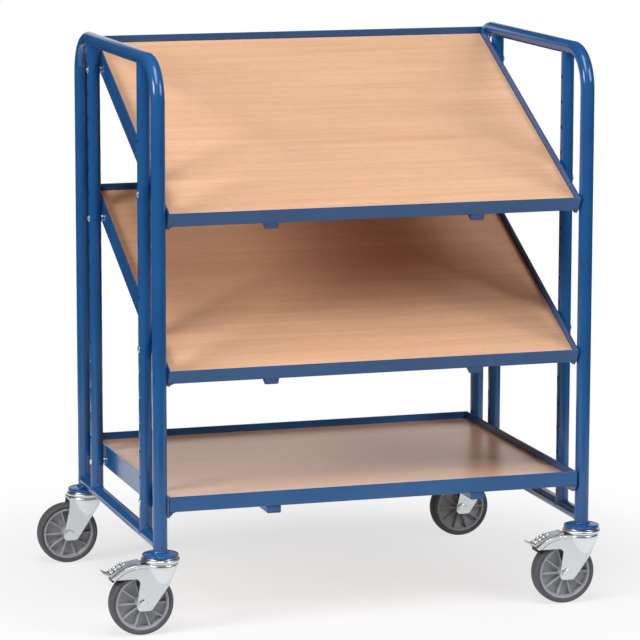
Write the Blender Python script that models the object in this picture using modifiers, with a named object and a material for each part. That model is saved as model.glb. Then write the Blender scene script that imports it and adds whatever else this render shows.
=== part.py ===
"""Euro box trolley: tubular end frames, shelves that bolt level or tilted into rows of holes, swivel castors.

Metres, +Z up. +X runs along the shelves, -Y is the loading side. The origin is on the floor, under the
middle of the whole trolley with its castors trailing towards -X.
"""

import math

import bmesh
import bpy
from mathutils import Matrix, Vector

MM = 0.001

# Clearances
GAP = 0.3 * MM               # between pieces that touch
SHELF_GAP = 3.5 * MM         # from a shelf's side rail to the posts beside it
NUT_GAP = 0.5 * MM           # from a shelf nut to the board above it
RUNNING_GAP = 0.7 * MM       # from a wheel's boss to the fork
TYRE_GAP = 8.7 * MM          # from the top of the tyre to the fork's crown
DISC_GAP = 1 * MM            # from a foot disc to the cross tube above it

# End frames
FRAME_SPACING = 860 * MM     # between the planes of the two end frames
LEG_SPACING = 615 * MM       # between the two legs of a frame
POST_INSET = 107.5 * MM      # from a leg to the perforated post beside it
LEG_D = 26.9 * MM            # legs and push bar, one bent tube
TUBE_D = 25 * MM             # posts and cross tubes
TUBE_WALL = 2 * MM
BEND_R = 75 * MM             # of the tube's axis, where a leg turns into the push bar
TUBE_BEVEL_STEPS = 4         # gives a bent tube twelve sides
BEND_STEPS = 5
ROUND_SIDES = 12
CUTTER_SIDES = 24
TURNED_STEPS = 16

# Rows of holes in the posts
HOLE_D = 9 * MM
HOLE_LAND = 0.9 * MM         # flat metal left beside each hole
HOLE_SPACING = 50 * MM
HOLE_COUNT = 17
FIRST_HOLE_RISE = 60.5 * MM  # from the cross tube's axis to the lowest hole
TOP_HOLE_TO_BAR = 60 * MM    # from the top hole to the push bar's axis
POST_ARC_STEPS = 5
POST_LAP = 9 * MM            # how far a post's ends reach over the tubes that they are shaped to fit

# Shelves, each held by bolts in a front and a rear hole, counted from the lowest
SHELF_HOLES = {"bottom": (0, 0), "middle": (6, 10), "top": (12, 16)}
RAIL_H = 30 * MM             # front and rear rails, angle steel
RAIL_FLANGE = 30 * MM
RAIL_T = 3 * MM
SIDE_RAIL_EDGE = 10.5 * MM   # from the bolts down to a side rail's lower edge
SIDE_RAIL_CORNER = 12 * MM   # cut off the ends of that edge
EAR_W = 8 * MM               # small ears that stiffen the corners under the front and rear rails
EAR_H = 5.5 * MM
EAR_FOOT_W = 2 * MM
BOARD_T = 12 * MM
BOARD_GAP = 0.5 * MM         # around a board, inside its rails
STIFFENER_SPACING = 414 * MM
STIFFENER_W = 28 * MM
STIFFENER_H = 14 * MM
STIFFENER_T = 2 * MM

# Shelf bolts
BOLT_D = 8 * MM
BOLT_HEAD_D = 13 * MM        # low round head
BOLT_HEAD_H = 2.2 * MM
BOLT_AF = 13 * MM            # across the flats of the nut
BOLT_NUT_H = 6.5 * MM
BOLT_TAIL = 2.5 * MM         # thread that shows past the nut
WASHER_D = 16 * MM

# Feet
DISC_D = 70 * MM
DISC_T = 8 * MM
DISC_EDGE = 1.5 * MM
STUD_D = 12 * MM
STUD_RISE = 25 * MM          # above the foot disc, inside the leg

# Castor heads
HEAD_D = 75 * MM
HEAD_T = 10.7 * MM
HEAD_EDGE = 2.5 * MM
KINGPIN_D = 14 * MM
KINGPIN_FLANGE_D = 26 * MM
KINGPIN_FLANGE_T = 3 * MM

# Wheels
WHEEL_D = 125 * MM
WHEEL_TRAIL = 39 * MM        # from the swivel axis to the axle
WHEEL_SIDES = 20
TYRE_W = 32 * MM
TYRE_T = 9.5 * MM
TREAD_W = 14 * MM
SHOULDER_DROP = 1.2 * MM
HUB_W = 28 * MM
HUB_RIM_T = 4.5 * MM
HUB_WEB_T = 8 * MM
HUB_DRAFT = 2 * MM           # how far the rim's inner side and the boss slope
BOSS_D = 24 * MM
AXLE_D = 10 * MM
AXLE_AF = 17 * MM
AXLE_HEAD_H = 5 * MM
AXLE_SIDES = 8

# Forks
FORK_SIDE_GAP = 3 * MM       # from the tyre to a cheek
FORK_T = 3 * MM
CROWN_T = 5 * MM
CROWN_FRONT = 26 * MM        # how far the crown reaches ahead of the swivel axis
CROWN_REAR = 37 * MM
RACE_D = 68 * MM             # round plate on the crown, under the castor head
RACE_T = 4 * MM
CHEEK_DROP = 13 * MM         # below the axle
CHEEK_REAR = 14 * MM         # behind the axle
CHEEK_FRONT = 16 * MM        # ahead of the axle
EYE_CORNER = 5 * MM          # cut off a cheek's lower corners
CHEEK_WAIST = 26 * MM        # below the crown, where a plain cheek's rear edge turns
CHEEK_STEP = 15 * MM         # below the crown, where its front edge turns
BRAKED_STEP = 8 * MM         # the same on a braked cheek, whose front edge also has a knee
BRAKED_KNEE = (50 * MM, 33.5 * MM)  # ahead of the axle and above it
WING_OUT = 17 * MM           # from the tyre to the top edge of the brake wing
WING_TIP_OUT = 18 * MM
WING_TOP_DEG = 118           # places round the axle, from +X towards +Z
WING_TIP_DEG = 139
WING_TIP_W = 3 * MM          # from the wing's tip ahead to its lower edge
WING_EDGE = 25.5 * MM        # below the crown, the wing's lower edge
WING_ROOT = 11 * MM          # behind the axle, where that edge ends
WING_CORNER = (5 * MM, 7 * MM)  # from there to the cheek's rear edge

# Brake pedals
PEDAL_PIVOT_X = 50 * MM      # behind the swivel axis
PEDAL_PIVOT_DROP = 6.2 * MM  # below the top of the crown
PEDAL_W = 36 * MM
PEDAL_T = 3 * MM
PEDAL_RISE = 11.5 * MM       # of the plate's inner end above the pivot
PEDAL_NOSE = 8 * MM          # how far that end reaches ahead of the pivot
PEDAL_KNEE = (-25 * MM, 6 * MM)
PEDAL_FOOT = (-53.5 * MM, -10 * MM)
PEDAL_TIP = (-65 * MM, -4.5 * MM)
PEDAL_LUG_R = 5 * MM
PEDAL_PIN_D = 6 * MM
SHOE_W = 30 * MM
SHOE_GAP = 9 * MM            # from the tyre to the released brake shoe
SHOE_FRONT_DEG = 118
SHOE_REAR_DEG = 136
SHOE_SEAT = (0.05, 0.55)     # where the shoe sits on the sloping part of the pedal

# Worked out from the sizes above
LEG_R = LEG_D / 2
TUBE_R = TUBE_D / 2
POST_SPACING = LEG_SPACING - 2 * POST_INSET
HOLE_HALF_W = HOLE_D / 2 * math.cos(math.pi / 6)
POST_FLAT_HALF_W = HOLE_HALF_W + HOLE_LAND
POST_FLAT_X = math.sqrt(TUBE_R**2 - POST_FLAT_HALF_W**2)
WHEEL_R = WHEEL_D / 2
CROWN_Z = WHEEL_D + TYRE_GAP
CROWN_TOP_Z = CROWN_Z + CROWN_T
HEAD_Z = CROWN_TOP_Z + GAP
DISC_Z = HEAD_Z + HEAD_T + GAP
DISC_TOP_Z = DISC_Z + DISC_T
CROSS_TUBE_Z = DISC_TOP_Z + DISC_GAP + TUBE_R
LOWEST_HOLE_Z = CROSS_TUBE_Z + FIRST_HOLE_RISE
TOP_BAR_Z = LOWEST_HOLE_Z + (HOLE_COUNT - 1) * HOLE_SPACING + TOP_HOLE_TO_BAR
SHELF_HALF_W = FRAME_SPACING / 2 - TUBE_R - SHELF_GAP
SHELF_DEPTH = LEG_SPACING + LEG_D  # flush with the legs
BOLT_SETBACK = (SHELF_DEPTH - POST_SPACING) / 2
BOARD_Z = BOLT_AF / 2 + NUT_GAP
FLANGE_TOP_Z = BOARD_Z - GAP
RAIL_Z = FLANGE_TOP_Z - RAIL_T
HUB_R = WHEEL_R - TYRE_T - GAP
FORK_HALF_W = TYRE_W / 2 + FORK_SIDE_GAP
CHEEK_FACE = FORK_HALF_W + FORK_T
PEDAL_PIVOT = Vector((-PEDAL_PIVOT_X, CROWN_TOP_Z - PEDAL_PIVOT_DROP))
PEDAL_REACH = PEDAL_PIVOT_X - PEDAL_TIP[0]
CENTRE_SHIFT = (PEDAL_REACH - HEAD_D / 2) / 2
BEYOND = 20 * MM             # how far a cutter runs past what it cuts
FAR = WHEEL_D * 2            # past everything on a castor

X_AXIS = Vector((1, 0, 0))
Y_AXIS = Vector((0, 1, 0))
Z_AXIS = Vector((0, 0, 1))
SIDES = {"left": -1, "right": 1}
ENDS = {"front": -1, "rear": 1}

for old in list(bpy.data.objects):
    bpy.data.objects.remove(old, do_unlink=True)

PARTS = bpy.data.collections.new("euro_box_trolley")
CUTTERS = bpy.data.collections.new("cutters")
for collection in (PARTS, CUTTERS):
    bpy.context.scene.collection.children.link(collection)


def material(name, colour, roughness, metallic):
    """A plain finish; colour is linear red, green and blue."""
    made = bpy.data.materials.new(name)
    made.use_nodes = True
    shader = made.node_tree.nodes["Principled BSDF"]
    shader.inputs["Base Color"].default_value = (*colour, 1)
    shader.inputs["Roughness"].default_value = roughness
    shader.inputs["Metallic"].default_value = metallic
    return made


BLUE_STEEL = material("blue_powder_coat", (0.02, 0.11, 0.32), 0.35, 0)
BEECH_BOARD = material("beech_decor_board", (0.85, 0.5, 0.3), 0.4, 0)
ZINC = material("zinc_plated_steel", (0.6, 0.62, 0.64), 0.3, 1)
HUB_PLASTIC = material("grey_polypropylene", (0.17, 0.17, 0.18), 0.5, 0)
TYRE_RUBBER = material("grey_rubber", (0.09, 0.09, 0.1), 0.7, 0)
SHOE_PLASTIC = material("black_polyamide", (0.02, 0.02, 0.02), 0.5, 0)


def empty(name, parent, location, rotation=(0, 0, 0)):
    made = bpy.data.objects.new(name, None)
    PARTS.objects.link(made)
    made.parent = parent
    made.location = location
    made.rotation_euler = rotation
    return made


def piece(name, mesh, parent, finish):
    made = bpy.data.objects.new(name, mesh)
    PARTS.objects.link(made)
    made.parent = parent
    mesh.materials.append(finish)
    return made


def combine(obj, operation, mesh):
    """Cuts a shape from a piece, or joins one to it; the shape is given in the piece's own frame."""
    other = bpy.data.objects.new("cutter", mesh)
    CUTTERS.objects.link(other)
    other.parent = obj.parent
    other.hide_render = True
    other.display_type = "WIRE"
    modifier = obj.modifiers.new(operation.title(), "BOOLEAN")
    modifier.operation = operation
    modifier.solver = "EXACT"
    modifier.object = other


def cut(obj, *meshes):
    for mesh in meshes:
        combine(obj, "DIFFERENCE", mesh)


def join(obj, *meshes):
    for mesh in meshes:
        combine(obj, "UNION", mesh)


def mesh_of(bm):
    mesh = bpy.data.meshes.new("shape")
    bm.to_mesh(mesh)
    bm.free()
    return mesh


def box(low, high):
    low, high = Vector(low), Vector(high)
    bm = bmesh.new()
    place = Matrix.Translation((low + high) / 2) @ Matrix.Diagonal((*(high - low), 1))
    bmesh.ops.create_cube(bm, size=1, matrix=place)
    return mesh_of(bm)


def bars(runs, radius, sides, corner, capped=True):
    """Straight bars, each from a start to an end, with one of their corners towards a direction."""
    bm = bmesh.new()
    for start, end in runs:
        start, end = Vector(start), Vector(end)
        along = (end - start).normalized()
        turn = Matrix((corner.cross(along), corner, along)).transposed().to_4x4()
        bmesh.ops.create_cone(
            bm, cap_ends=capped, segments=sides, radius1=radius, radius2=radius,
            depth=(end - start).length, matrix=Matrix.Translation((start + end) / 2) @ turn,
        )
    mesh = mesh_of(bm)
    mesh.shade_smooth()
    mesh.set_sharp_from_angle(angle=math.radians(40))
    return mesh


def slab(outline, half_thickness, along="Y"):
    """A flat outline, thickened evenly to both sides: X and Z points along Y, or Y and Z points along X."""
    curve = bpy.data.curves.new("outline", "CURVE")
    curve.dimensions = "2D"
    curve.fill_mode = "BOTH"
    curve.extrude = half_thickness
    spline = curve.splines.new("POLY")
    spline.points.add(len(outline) - 1)
    for point, (across, up) in zip(spline.points, outline):
        point.co = (across, up, 0, 1)
    spline.use_cyclic_u = True
    drawn = bpy.data.objects.new("outline", curve)
    CUTTERS.objects.link(drawn)
    graph = bpy.context.evaluated_depsgraph_get()
    bm = bmesh.new()
    bm.from_mesh(bpy.data.meshes.new_from_object(drawn.evaluated_get(graph)))
    bpy.data.objects.remove(drawn, do_unlink=True)
    bmesh.ops.remove_doubles(bm, verts=bm.verts, dist=GAP / 100)
    upright = Matrix.Rotation(math.radians(90), 4, "X")
    turn = upright if along == "Y" else Matrix.Rotation(math.radians(90), 4, "Z") @ upright
    bmesh.ops.transform(bm, matrix=turn, verts=bm.verts)
    bmesh.ops.recalc_face_normals(bm, faces=bm.faces)
    return mesh_of(bm)


def profile_mesh(points, closed):
    """A profile in the XZ plane that a Screw turns about Z."""
    bm = bmesh.new()
    corners = [bm.verts.new((x, 0, z)) for x, z in points]
    for first, second in zip(corners, corners[1:]):
        bm.edges.new((first, second))
    if closed:
        bm.edges.new((corners[-1], corners[0]))
    return mesh_of(bm)


def turn_profile(obj, steps):
    screw = obj.modifiers.new("Turned", "SCREW")
    screw.axis = "Z"
    screw.steps = steps
    screw.render_steps = steps
    screw.use_merge_vertices = True
    screw.merge_threshold = GAP / 100
    screw.use_smooth_shade = True


def hollow(obj):
    """Gives an open surface the wall of the frame's tube, inwards."""
    wall = obj.modifiers.new("Wall", "SOLIDIFY")
    wall.thickness = TUBE_WALL
    wall.offset = -1
    wall.use_even_offset = True


def hole_z(number):
    return LOWEST_HOLE_Z + number * HOLE_SPACING


def push_frame(side, parent):
    """A leg, the push bar and the other leg, bent from one tube."""
    half = LEG_SPACING / 2
    points = [(0, -half, DISC_TOP_Z + GAP)]
    for centre, first in ((BEND_R - half, math.pi), (half - BEND_R, math.pi / 2)):
        for step in range(BEND_STEPS + 1):
            angle = first - step / BEND_STEPS * math.pi / 2
            y = centre + BEND_R * math.cos(angle)
            points.append((0, y, TOP_BAR_Z - BEND_R + BEND_R * math.sin(angle)))
    points.append((0, half, DISC_TOP_Z + GAP))
    curve = bpy.data.curves.new("push_frame", "CURVE")
    curve.dimensions = "3D"
    curve.bevel_depth = LEG_R
    curve.bevel_resolution = TUBE_BEVEL_STEPS
    spline = curve.splines.new("POLY")
    spline.points.add(len(points) - 1)
    for point, place in zip(spline.points, points):
        point.co = (*place, 1)
    hollow(piece(f"{side}_push_frame", curve, parent, BLUE_STEEL))


def cross_tube(side, parent):
    """Joins the two legs just above the feet, its ends shaped to fit round them."""
    half = Y_AXIS * LEG_SPACING / 2
    axis = Z_AXIS * CROSS_TUBE_Z
    mesh = bars([(axis - half, axis + half)], TUBE_R, ROUND_SIDES, Z_AXIS, capped=False)
    tube = piece(f"{side}_cross_tube", mesh, parent, BLUE_STEEL)
    hollow(tube)
    reach = Z_AXIS * (TUBE_R + BEYOND)
    legs = [(axis + end * half - reach, axis + end * half + reach) for end in ENDS.values()]
    cut(tube, bars(legs, LEG_R + GAP, CUTTER_SIDES, Y_AXIS))


def post_section():
    """A round tube's outline, pressed flat towards -X and +X where the holes are."""
    flat = math.asin(POST_FLAT_HALF_W / TUBE_R)
    arc = math.pi - 2 * flat
    half = [flat + arc * step / POST_ARC_STEPS for step in range(POST_ARC_STEPS + 1)]
    angles = half + [math.pi + angle for angle in half]
    return [(TUBE_R * math.cos(angle), TUBE_R * math.sin(angle)) for angle in angles]


def post(side, end, parent):
    """Stands on the cross tube and reaches up to the push bar, with a row of holes along X."""
    y = ENDS[end] * POST_SPACING / 2
    foot, head = CROSS_TUBE_Z + TUBE_R - POST_LAP, TOP_BAR_Z - LEG_R + POST_LAP
    bm = bmesh.new()
    ring = [bm.verts.new((px, y + py, foot)) for px, py in post_section()]
    edges = [bm.edges.new((first, second)) for first, second in zip(ring, ring[1:] + ring[:1])]
    raised = bmesh.ops.extrude_edge_only(bm, edges=edges)["geom"]
    upper = [item for item in raised if isinstance(item, bmesh.types.BMVert)]
    bmesh.ops.translate(bm, vec=Z_AXIS * (head - foot), verts=upper)
    bmesh.ops.recalc_face_normals(bm, faces=bm.faces)
    mesh = mesh_of(bm)
    mesh.shade_smooth()
    tube = piece(f"{side}_{end}_post", mesh, parent, BLUE_STEEL)
    hollow(tube)
    reach = X_AXIS * (TUBE_R + BEYOND)
    rows = [Vector((0, y, hole_z(number))) for number in range(HOLE_COUNT)]
    holes = bars([(row - reach, row + reach) for row in rows], HOLE_D / 2, 6, Z_AXIS)
    along = Y_AXIS * (TUBE_R + BEYOND)
    ends = []
    for height, radius in ((CROSS_TUBE_Z, TUBE_R), (TOP_BAR_Z, LEG_R)):
        seat = Vector((0, y, height))
        ends.append(bars([(seat - along, seat + along)], radius + GAP, CUTTER_SIDES, Z_AXIS))
    cut(tube, *ends, holes)


def foot_disc(name, parent):
    inner, outer = STUD_D / 2 + GAP, DISC_D / 2
    outline = [
        (inner, DISC_TOP_Z), (outer - DISC_EDGE, DISC_TOP_Z), (outer, DISC_TOP_Z - DISC_EDGE),
        (outer, DISC_Z + DISC_EDGE), (outer - DISC_EDGE, DISC_Z), (inner, DISC_Z),
    ]
    disc = piece(f"{name}_foot_disc", profile_mesh(outline, closed=True), parent, BLUE_STEEL)
    turn_profile(disc, TURNED_STEPS)


def shelf_rim(name, parent, upright, rear_holes):
    """Front and rear angle rails between two deeper side rails, which carry the bolts."""
    low_y, high_y = -BOLT_SETBACK, SHELF_DEPTH - BOLT_SETBACK
    top, inner = RAIL_Z + RAIL_H, SHELF_HALF_W - RAIL_T
    corner_z = SIDE_RAIL_CORNER - SIDE_RAIL_EDGE
    outline = [
        (low_y, top), (low_y, corner_z), (low_y + SIDE_RAIL_CORNER, -SIDE_RAIL_EDGE),
        (high_y - SIDE_RAIL_CORNER, -SIDE_RAIL_EDGE), (high_y, corner_z), (high_y, top),
    ]
    rim = piece(f"{name}_shelf_rim", slab(outline, SHELF_HALF_W, along="X"), parent, BLUE_STEEL)
    front, rear = low_y + RAIL_T, high_y - RAIL_T
    front_flange, rear_flange = low_y + RAIL_FLANGE, high_y - RAIL_FLANGE
    above, below = top + BEYOND, -SIDE_RAIL_EDGE - BEYOND
    inside_rails = slab(
        [
            (front, above), (front, FLANGE_TOP_Z), (front_flange, FLANGE_TOP_Z), (front_flange, RAIL_Z),
            (front, RAIL_Z), (front, below), (rear, below), (rear, RAIL_Z), (rear_flange, RAIL_Z),
            (rear_flange, FLANGE_TOP_Z), (rear, FLANGE_TOP_Z), (rear, above),
        ],
        inner, along="X",
    )
    foot, ear = inner - EAR_FOOT_W, inner - EAR_W
    between_ears = slab(
        [
            (-foot, below), (foot, below), (foot, RAIL_Z - EAR_H), (ear, RAIL_Z),
            (-ear, RAIL_Z), (-foot, RAIL_Z - EAR_H),
        ],
        SHELF_DEPTH,
    )
    reach = X_AXIS * (SHELF_HALF_W + BEYOND)
    places = [Y_AXIS * y for y in (0, *rear_holes)]
    holes = bars([(place - reach, place + reach) for place in places], HOLE_D / 2, 6, upright)
    cut(rim, inside_rails, between_ears, holes)


def shelf_board(name, parent):
    x = SHELF_HALF_W - RAIL_T - BOARD_GAP
    inset = RAIL_T + BOARD_GAP
    low = (-x, inset - BOLT_SETBACK, BOARD_Z)
    high = (x, SHELF_DEPTH - BOLT_SETBACK - inset, BOARD_Z + BOARD_T)
    piece(f"{name}_shelf_board", box(low, high), parent, BEECH_BOARD)


def shelf_stiffener(name, side, parent):
    """A channel under the board, carried across below the flanges of the front and rear rails."""
    x = SIDES[side] * STIFFENER_SPACING / 2
    half, inner = STIFFENER_W / 2, STIFFENER_W / 2 - STIFFENER_T
    inset = RAIL_T + GAP
    low_y, high_y = inset - BOLT_SETBACK, SHELF_DEPTH - BOLT_SETBACK - inset
    top = RAIL_Z - GAP
    low_z = top - STIFFENER_H
    mesh = box((x - half, low_y, low_z), (x + half, high_y, top))
    channel = piece(f"{name}_shelf_{side}_stiffener", mesh, parent, BLUE_STEEL)
    hollow = ((x - inner, low_y - BEYOND, low_z + STIFFENER_T), (x + inner, high_y + BEYOND, top + BEYOND))
    cut(channel, box(*hollow))


def shelf_bolt(name, end, side, parent, y, upright):
    """A round-headed bolt through a post and a side rail, with its spacing washer and nut."""
    way = SIDES[side] * X_AXIS
    place = Y_AXIS * y
    post_x = FRAME_SPACING / 2
    head = post_x + POST_FLAT_X + GAP
    washer = post_x - POST_FLAT_X - GAP
    washer_end = SHELF_HALF_W + GAP
    nut = SHELF_HALF_W - RAIL_T - GAP
    tail = nut - BOLT_NUT_H - BOLT_TAIL

    def run(first, last):
        return [(place + way * first, place + way * last)]

    corner_r = BOLT_AF / 2 / math.cos(math.pi / 6)
    shank = bars(run(tail, head + BOLT_HEAD_H / 2), BOLT_D / 2, 6, upright)
    bolt = piece(f"{name}_shelf_{end}_{side}_bolt", shank, parent, ZINC)
    join(
        bolt,
        bars(run(head, head + BOLT_HEAD_H), BOLT_HEAD_D / 2, ROUND_SIDES, Z_AXIS),
        bars(run(washer_end, washer), WASHER_D / 2, ROUND_SIDES, Z_AXIS),
        bars(run(nut - BOLT_NUT_H, nut), corner_r, 6, Y_AXIS),
    )


def shelf(name, holes, trolley):
    """A shelf in its own frame: the front bolts' axis is its origin, and it tilts about that."""
    front, rear = holes
    rise = (rear - front) * HOLE_SPACING
    tilt = math.atan2(rise, POST_SPACING)
    rear_y = math.hypot(POST_SPACING, rise)
    parent = empty(f"{name}_shelf", trolley, (0, -POST_SPACING / 2, hole_z(front)), (tilt, 0, 0))
    upright = Vector((0, math.sin(tilt), math.cos(tilt)))
    shelf_rim(name, parent, upright, sorted({POST_SPACING, rear_y}))
    shelf_board(name, parent)
    for side in SIDES:
        shelf_stiffener(name, side, parent)
        for end, y in (("front", 0), ("rear", rear_y)):
            shelf_bolt(name, end, side, parent, y, upright)


def castor_head(name, parent):
    """The fixed half of the swivel: stud, cup and the kingpin that carries the fork."""
    pin, flange, stud = KINGPIN_D / 2, KINGPIN_FLANGE_D / 2, STUD_D / 2
    top, flange_top = HEAD_Z + HEAD_T, CROWN_Z - GAP
    outline = [
        (0, DISC_TOP_Z + STUD_RISE), (stud, DISC_TOP_Z + STUD_RISE), (stud, top),
        (HEAD_D / 2 - HEAD_EDGE, top), (HEAD_D / 2, top - HEAD_EDGE),
        (HEAD_D / 2, HEAD_Z + HEAD_EDGE), (HEAD_D / 2 - HEAD_EDGE, HEAD_Z),
        (pin, HEAD_Z), (pin, flange_top), (flange, flange_top),
        (flange, flange_top - KINGPIN_FLANGE_T), (0, flange_top - KINGPIN_FLANGE_T),
    ]
    head = piece(f"{name}_castor_head", profile_mesh(outline, closed=False), parent, ZINC)
    turn_profile(head, TURNED_STEPS)


def round_axle(degrees, radius):
    """A place in the castor's XZ plane, given by its angle and distance from the axle."""
    angle = math.radians(degrees)
    return (radius * math.cos(angle) - WHEEL_TRAIL, radius * math.sin(angle) + WHEEL_R)


def fork_outline(braked):
    """The cheek seen from the side, from the axle's eye up its front edge and back down its rear edge."""
    low = WHEEL_R - CHEEK_DROP
    rear, front = -WHEEL_TRAIL - CHEEK_REAR, -WHEEL_TRAIL + CHEEK_FRONT
    eye = [
        (rear, low + EYE_CORNER), (rear + EYE_CORNER, low),
        (front - EYE_CORNER, low), (front, low + EYE_CORNER),
    ]
    crown = (CROWN_FRONT, CROWN_TOP_Z)
    if not braked:
        step = (CROWN_FRONT, CROWN_TOP_Z - CHEEK_STEP)
        return eye + [step, crown, (-CROWN_REAR, CROWN_TOP_Z), (-WHEEL_TRAIL, CROWN_TOP_Z - CHEEK_WAIST)]
    knee = (BRAKED_KNEE[0] - WHEEL_TRAIL, BRAKED_KNEE[1] + WHEEL_R)
    tip = round_axle(WING_TIP_DEG, WHEEL_R + WING_TIP_OUT)
    edge = CROWN_TOP_Z - WING_EDGE
    root = -WHEEL_TRAIL - WING_ROOT
    wing = [
        (-PEDAL_PIVOT_X - PEDAL_LUG_R, CROWN_TOP_Z), round_axle(WING_TOP_DEG, WHEEL_R + WING_OUT), tip,
        (tip[0] + WING_TIP_W, edge), (root, edge), (root + WING_CORNER[0], edge - WING_CORNER[1]),
    ]
    return eye + [knee, (CROWN_FRONT, CROWN_TOP_Z - BRAKED_STEP), crown] + wing


def castor_fork(name, parent, braked):
    """Crown and two cheeks; a braked fork also has wings beside the tyre that carry the pedal."""
    fork = piece(f"{name}_castor_fork", slab(fork_outline(braked), CHEEK_FACE), parent, ZINC)
    race_z = CROWN_Z + (CROWN_T - RACE_T) / 2
    join(fork, bars([(Z_AXIS * race_z, Z_AXIS * (race_z + RACE_T))], RACE_D / 2, CUTTER_SIDES, X_AXIS))
    wheel_slot = [(FAR, -FAR), (FAR, CROWN_Z), (-CROWN_REAR, CROWN_Z)]
    wheel_slot += [(-CROWN_REAR, FAR), (-FAR, FAR)] if braked else [(-FAR, CROWN_Z)]
    wheel_slot += [(-FAR, -FAR)]
    axle = Vector((-WHEEL_TRAIL, 0, WHEEL_R))
    through = Y_AXIS * (CHEEK_FACE + BEYOND)
    kingpin = [(Z_AXIS * (CROWN_Z - BEYOND), Z_AXIS * (CROWN_TOP_Z + BEYOND))]
    cut(
        fork,
        slab(wheel_slot, FORK_HALF_W),
        bars(kingpin, KINGPIN_D / 2 + GAP, CUTTER_SIDES, X_AXIS),
        bars([(axle - through, axle + through)], AXLE_D / 2 + GAP, AXLE_SIDES, Z_AXIS),
    )
    if braked:
        pivot = Vector((PEDAL_PIVOT.x, 0, PEDAL_PIVOT.y))
        cut(fork, bars([(pivot - through, pivot + through)], PEDAL_PIN_D / 2 + GAP, AXLE_SIDES, Z_AXIS))


def castor_axle(name, parent):
    """The axle bolt, with its head outside one cheek and its nut outside the other."""
    axle = Vector((-WHEEL_TRAIL, 0, WHEEL_R))
    face = CHEEK_FACE + GAP
    corner_r = AXLE_AF / 2 / math.cos(math.pi / 6)
    middle = Y_AXIS * (face + AXLE_HEAD_H / 2)
    shank = bars([(axle - middle, axle + middle)], AXLE_D / 2, AXLE_SIDES, Z_AXIS)
    bolt = piece(f"{name}_castor_axle", shank, parent, ZINC)
    near, far = Y_AXIS * face, Y_AXIS * (face + AXLE_HEAD_H)
    join(bolt, *(bars([(axle + way * near, axle + way * far)], corner_r, 6, Z_AXIS) for way in (-1, 1)))


def to_corner(radius):
    """The corner radius of a wheel whose flats lie at this radius."""
    return radius / math.cos(math.pi / WHEEL_SIDES)


def wheel(name, parent):
    """Hub and tyre, turned about the axle, with a flat of the tyre on the floor."""
    centre = empty(f"{name}_wheel", parent, (-WHEEL_TRAIL, 0, WHEEL_R), (-math.pi / 2, 0, 0))
    rim, seat = HUB_R - HUB_RIM_T, HUB_R + GAP
    boss = FORK_HALF_W - RUNNING_GAP
    side, web = HUB_W / 2, HUB_WEB_T / 2
    bore = AXLE_D / 2 + GAP
    lower_hub = [
        (HUB_R, -side), (rim, -side), (rim - HUB_DRAFT, -web),
        (BOSS_D / 2 + HUB_DRAFT, -web), (BOSS_D / 2, -boss), (bore, -boss),
    ]
    tread, shoulder = TREAD_W / 2, TYRE_W / 2
    lower_tyre = [
        (WHEEL_R, -tread), (WHEEL_R - SHOULDER_DROP, (-tread - shoulder) / 2),
        (WHEEL_R - TYRE_T / 2, -shoulder), (seat, -side),
    ]
    parts = (("hub", lower_hub, HUB_PLASTIC), ("tyre", lower_tyre, TYRE_RUBBER))
    for label, lower, finish in parts:
        outline = lower + [(radius, -z) for radius, z in reversed(lower)]
        mesh = profile_mesh([(to_corner(radius), z) for radius, z in outline], closed=True)
        made = piece(f"{name}_wheel_{label}", mesh, centre, finish)
        made.rotation_euler.z = math.pi / WHEEL_SIDES
        turn_profile(made, WHEEL_SIDES)


def brake_pedal(name, parent):
    """A bent foot plate that rocks on a pin between the wings, with the shoe under it."""
    pivot = empty(f"{name}_pedal", parent, (PEDAL_PIVOT.x, 0, PEDAL_PIVOT.y))
    knee, foot, tip = Vector(PEDAL_KNEE), Vector(PEDAL_FOOT), Vector(PEDAL_TIP)
    thick = Vector((0, -PEDAL_T))
    lug = [(PEDAL_LUG_R * math.cos(angle), PEDAL_LUG_R * math.sin(angle))
           for angle in (math.pi * step / 4 for step in range(4, 9))]
    outline = [
        (PEDAL_NOSE, PEDAL_RISE), knee, foot, tip, tip + thick, foot + thick, knee + thick,
        (-PEDAL_LUG_R, knee.y), *lug, (PEDAL_NOSE, PEDAL_RISE - PEDAL_T),
    ]
    pedal = piece(f"{name}_brake_pedal", slab(outline, PEDAL_W / 2), pivot, ZINC)
    pin_end = Y_AXIS * (CHEEK_FACE + GAP)
    join(pedal, bars([(-pin_end, pin_end)], PEDAL_PIN_D / 2, AXLE_SIDES, Z_AXIS))
    seat = [knee.lerp(foot, share) + thick + Vector((0, -GAP * 2)) for share in SHOE_SEAT]
    face = [Vector(round_axle(degrees, WHEEL_R + SHOE_GAP)) - PEDAL_PIVOT
            for degrees in (SHOE_REAR_DEG, SHOE_FRONT_DEG)]
    piece(f"{name}_brake_shoe", slab(seat + face, SHOE_W / 2), pivot, SHOE_PLASTIC)


def castor(name, parent, braked):
    castor_head(name, parent)
    castor_fork(name, parent, braked)
    castor_axle(name, parent)
    wheel(name, parent)
    if braked:
        brake_pedal(name, parent)


def end_frame(side, trolley):
    parent = empty(f"{side}_end", trolley, (SIDES[side] * FRAME_SPACING / 2, 0, 0))
    push_frame(side, parent)
    cross_tube(side, parent)
    for end, way in ENDS.items():
        post(side, end, parent)
        name = f"{end}_{side}"
        leg = empty(f"{name}_leg", parent, (0, way * LEG_SPACING / 2, 0))
        foot_disc(name, leg)
        castor(name, leg, braked=end == "front")


def main():
    trolley = empty("trolley", None, (CENTRE_SHIFT, 0, 0))
    for side in SIDES:
        end_frame(side, trolley)
    for name, holes in SHELF_HOLES.items():
        shelf(name, holes, trolley)


main()
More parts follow.
